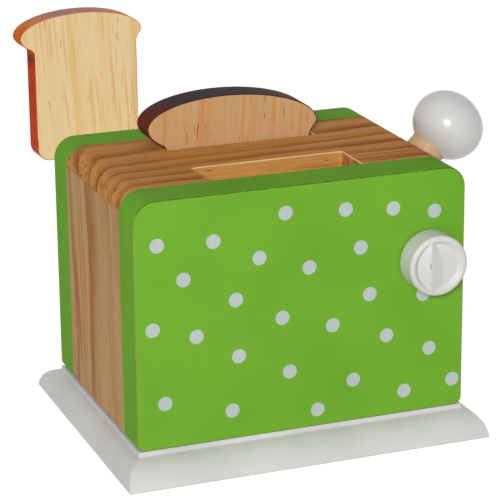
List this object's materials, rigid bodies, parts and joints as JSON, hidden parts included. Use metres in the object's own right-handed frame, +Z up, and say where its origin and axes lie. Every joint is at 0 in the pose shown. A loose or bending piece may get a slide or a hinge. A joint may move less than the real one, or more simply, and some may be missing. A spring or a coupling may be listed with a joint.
{
  "type": "toy toaster",
  "caption": "Wooden toy toaster: green panels with white dots on a pine body and white moulded base, with a pop-up lever, a turning knob and wooden toast slices.",
  "frame": {"origin": "middle of the base board's underside", "axes": "+Z up, +X towards the lever and its ball, -Y towards the front panel with the knob"},
  "size_m": [0.1797, 0.4981, 0.1341],
  "materials": {
    "white_paint": "satin white paint",
    "green_paint": "satin green paint with white dots",
    "pine": "clear lacquered pine",
    "dowel_wood": "bare beech",
    "toast_wood": "bare pine with a brown stained rim",
    "steel": "zinc plated"
  },
  "bodies": {
    "body": {"base_board": "white_paint", "base_screws": "steel", "front_panel": "green_paint", "front_panel_dowels": "dowel_wood", "rear_panel": "green_paint", "rear_panel_dowels": "dowel_wood", "left_end_board": "pine", "right_end_board": "pine", "top_board": "pine", "top_board_dowels": "dowel_wood", "lever_pivot_pin": "steel", "lift_guide_dowels": "dowel_wood", "knob_washer": "steel"},
    "lever": {"lever_rod": "dowel_wood", "lever_ball": "white_paint", "lever_cross_dowel": "dowel_wood"},
    "lift": {"lift_board": "pine"},
    "toast": {"slot_toast": "toast_wood"},
    "knob": {"timer_knob": "white_paint", "knob_screw": "steel"},
    "second_toast": {"loose_toast": "toast_wood"}
  },
  "joints": [
    {"name": "lever_hinge", "type": "hinge", "parent": "body", "child": "lever", "pos_m": [0.061, 0, 0.091], "axis": [0, 1, 0], "range_deg": [0, 35]},
    {"name": "lift_slide", "type": "slide", "parent": "body", "child": "lift", "axis": [0, 0, 1], "range_m": [0, 0.043]},
    {"name": "toast_lift", "type": "slide", "parent": "lift", "child": "toast", "axis": [0, 0, 1], "range_m": [0, 0.09]},
    {"name": "knob_turn", "type": "hinge", "parent": "body", "child": "knob", "pos_m": [0.0537, -0.054, 0.0768], "axis": [0, 1, 0], "continuous": true},
    {"name": "loose_lift", "type": "slide", "parent": "body", "child": "second_toast", "axis": [0, 0, 1], "range_m": [0, 0.09]}
  ],
  "couplings": [
    {"joint": "lift_slide", "follows": "lever_hinge", "m_per_rad": 0.070353}
  ]
}
